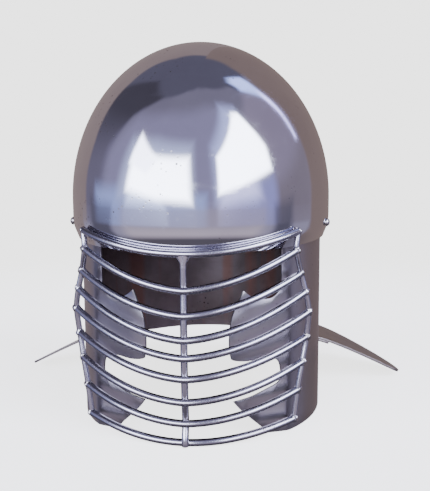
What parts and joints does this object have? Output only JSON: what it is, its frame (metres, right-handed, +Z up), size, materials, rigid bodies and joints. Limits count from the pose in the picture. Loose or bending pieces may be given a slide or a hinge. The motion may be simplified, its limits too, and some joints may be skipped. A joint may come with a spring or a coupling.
{
  "type": "bar-grilled combat helmet",
  "caption": "Rounded steel combat helmet with a welded bar grill over the face, scalloped cheek plates and a broad sloping neck guard.",
  "frame": {"origin": "centre of the bounding box on the surface that the helmet stands on", "axes": "+Z up, the face and its grill look along -Y, +X is the wearer's left"},
  "size_m": [0.362, 0.2858, 0.3075],
  "materials": {
    "skull_bowl": "mirror-polished steel with small pits and scratches",
    "cheek_plate_left": "satin-polished steel sheet",
    "cheek_plate_right": "satin-polished steel sheet",
    "neck_guard": "dull grey-brown steel sheet",
    "face_grill": "polished round bar with weld beads",
    "side_rivet_left": "polished steel",
    "side_rivet_right": "polished steel"
  },
  "bodies": {
    "root": {"skull_bowl": "skull_bowl", "cheek_plate_left": "cheek_plate_left", "cheek_plate_right": "cheek_plate_right", "neck_guard": "neck_guard", "face_grill": "face_grill", "side_rivet_left": "side_rivet_left", "side_rivet_right": "side_rivet_right"}
  },
  "joints": []
}
